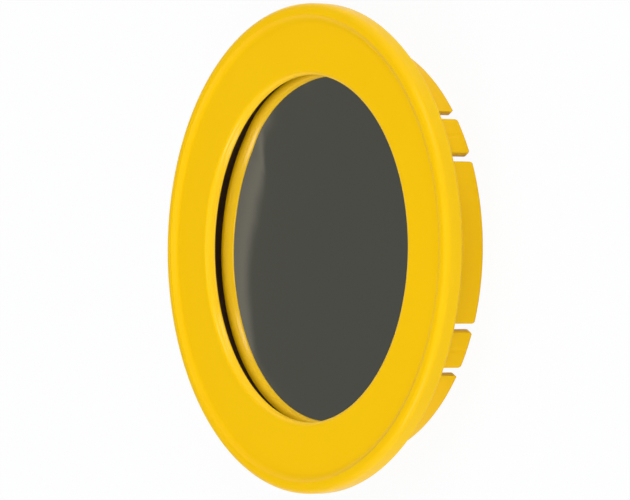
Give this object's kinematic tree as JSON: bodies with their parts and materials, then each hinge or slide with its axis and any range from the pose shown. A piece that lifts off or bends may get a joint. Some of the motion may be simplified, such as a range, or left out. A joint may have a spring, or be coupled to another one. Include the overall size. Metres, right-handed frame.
{
  "type": "telescope solar filter",
  "caption": "Round moulded cap that slides over a small telescope's front and holds a mirror-like film behind an open window, with spring tongues round its collar.",
  "frame": {"origin": "middle of the collar's end, which is the face that the cap rests on", "axes": "+Z along the telescope's axis towards the sky, out of the window; +X through the middle of one spring tongue"},
  "size_m": [0.11, 0.11, 0.016],
  "materials": {
    "yellow_plastic": "injection moulded, satin gloss",
    "black_foam": "matt, dense foam",
    "metallised_film": "thin metallised polymer film with slight ripples",
    "black_plastic": "injection moulded, fine matt texture"
  },
  "bodies": {
    "root": {"filter_cap": "yellow_plastic", "front_film_ring": "black_foam", "solar_film": "metallised_film", "rear_film_ring": "black_plastic"}
  },
  "joints": []
}
